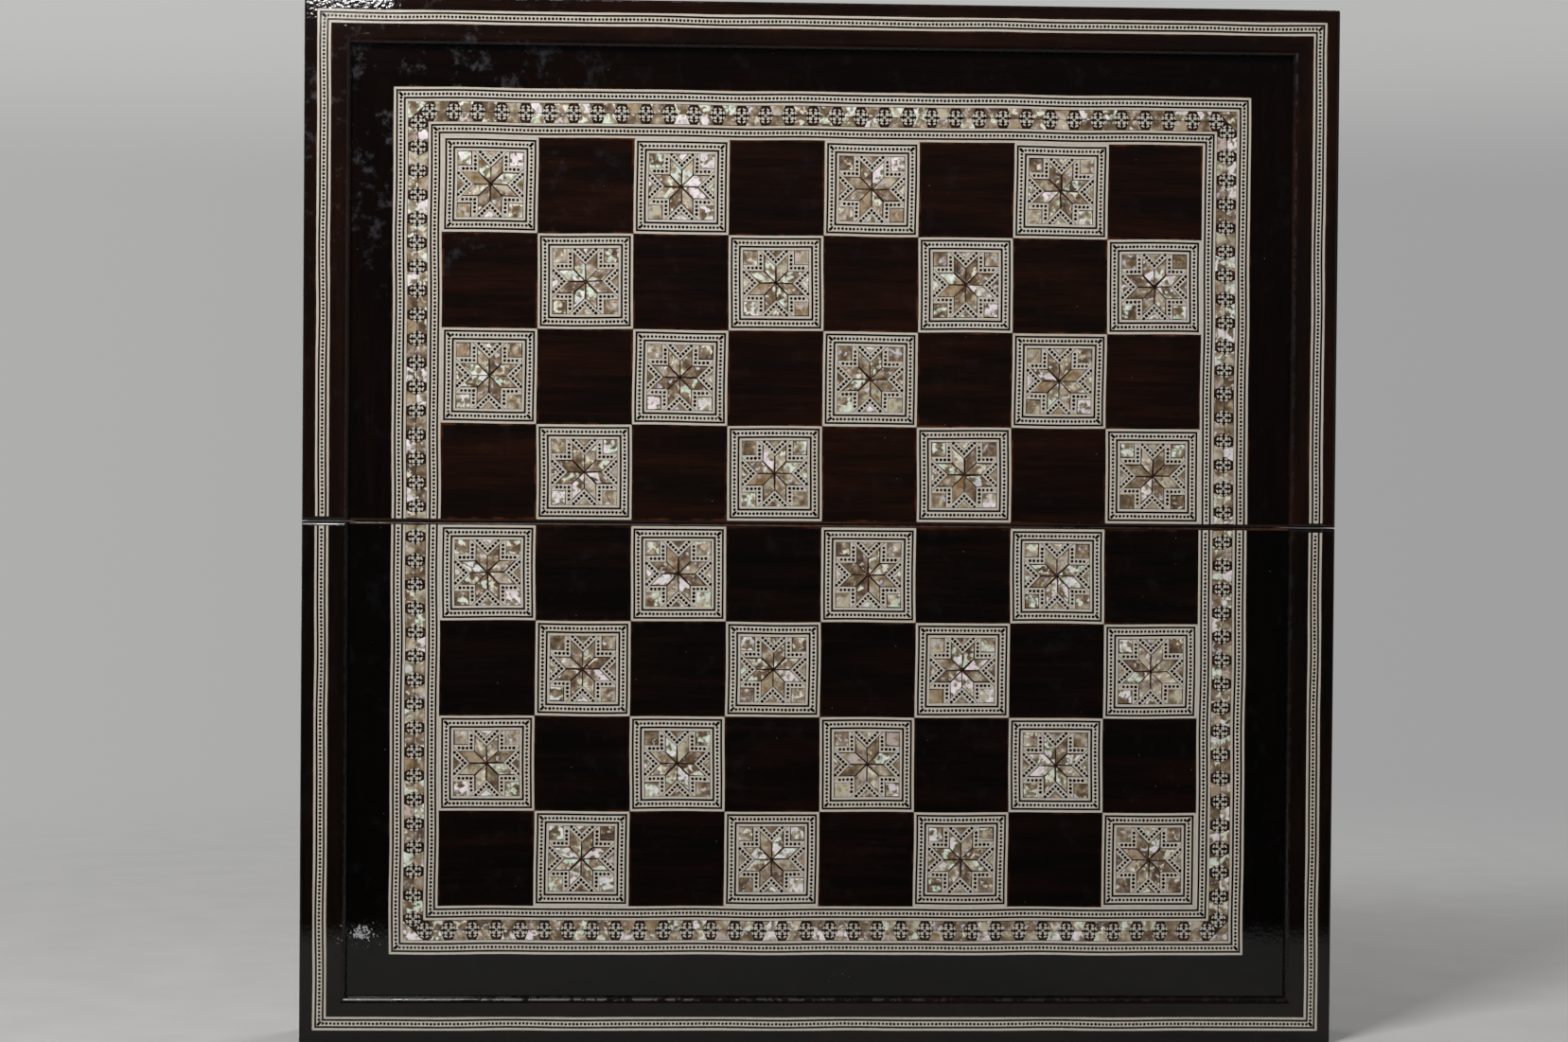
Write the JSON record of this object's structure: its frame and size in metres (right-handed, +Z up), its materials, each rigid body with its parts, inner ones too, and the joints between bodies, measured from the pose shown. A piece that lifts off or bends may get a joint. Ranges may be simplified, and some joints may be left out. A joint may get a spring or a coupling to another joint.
{
  "type": "backgammon board",
  "caption": "Folding wooden games box with an inlaid chequered field on its outside, a playing floor of long points inside, butt hinges and swing-hook latches.",
  "frame": {"origin": "middle of the outer face of the lower half's front rail, on which the open board stands, midway between rim face and mouth", "axes": "+Z up the open board, across the seam; +X along the seam, to the right as seen from the chequered side; -Y towards the viewer of the chequered side"},
  "size_m": [0.5, 0.0476, 0.5029],
  "materials": {
    "lacquered_walnut": "gloss",
    "dark_veneer": "gloss",
    "rosewood": "gloss",
    "bone": "gloss",
    "ebony": "gloss",
    "mother_of_pearl": "gloss",
    "rosette_inlay": "gloss",
    "maple": "gloss",
    "brass": "satin"
  },
  "bodies": {
    "lower_half": {"lower_front_rail": "lacquered_walnut", "lower_left_rail": "lacquered_walnut", "lower_right_rail": "lacquered_walnut", "lower_hinge_rail": "lacquered_walnut", "lower_panel": "lacquered_walnut", "lower_margin_veneer": "dark_veneer", "lower_dark_squares": "dark_veneer", "lower_tile_grounds": "rosewood", "lower_tile_bone": "bone", "lower_tile_ebony": "ebony", "lower_tile_strips": "bone", "lower_star_pearl": "mother_of_pearl", "lower_corner_pearl": "mother_of_pearl", "lower_rim_bone": "bone", "lower_rim_ebony": "ebony", "lower_border_bone": "bone", "lower_border_ebony": "ebony", "lower_band_ground": "rosewood", "lower_band_pearl": "mother_of_pearl", "lower_rosettes": "rosette_inlay", "lower_floor_veneer": "rosewood", "lower_floor_border": "bone", "lower_light_points": "maple", "lower_dark_points": "ebony", "lower_mouth_strip": "bone", "lower_hinge_leaves": "brass", "lower_hinge_screws": "brass", "hinge_pins": "brass", "latch_studs": "brass"},
    "upper_half": {"upper_front_rail": "lacquered_walnut", "upper_left_rail": "lacquered_walnut", "upper_right_rail": "lacquered_walnut", "upper_hinge_rail": "lacquered_walnut", "upper_panel": "lacquered_walnut", "upper_margin_veneer": "dark_veneer", "upper_dark_squares": "dark_veneer", "upper_tile_grounds": "rosewood", "upper_tile_bone": "bone", "upper_tile_ebony": "ebony", "upper_tile_strips": "bone", "upper_star_pearl": "mother_of_pearl", "upper_corner_pearl": "mother_of_pearl", "upper_rim_bone": "bone", "upper_rim_ebony": "ebony", "upper_border_bone": "bone", "upper_border_ebony": "ebony", "upper_band_ground": "rosewood", "upper_band_pearl": "mother_of_pearl", "upper_rosettes": "rosette_inlay", "upper_floor_veneer": "rosewood", "upper_floor_border": "bone", "upper_light_points": "maple", "upper_dark_points": "ebony", "upper_mouth_strip": "bone", "upper_hinge_leaves": "brass", "upper_hinge_screws": "brass", "latch_pivots": "brass"},
    "left_hook": {"left_hook": "brass"},
    "right_hook": {"right_hook": "brass"}
  },
  "joints": [
    {"name": "fold", "type": "hinge", "parent": "lower_half", "child": "upper_half", "pos_m": [0, 0.02275, 0.25145], "axis": [-1, 0, 0], "range_deg": [0, 180]},
    {"name": "left_hook_swing", "type": "hinge", "parent": "upper_half", "child": "left_hook", "pos_m": [-0.15, 0.0145, 0.5006], "axis": [0, 0, 1], "range_deg": [0, 90]},
    {"name": "right_hook_swing", "type": "hinge", "parent": "upper_half", "child": "right_hook", "pos_m": [0.15, 0.0145, 0.5006], "axis": [0, 0, -1], "range_deg": [0, 90]}
  ]
}
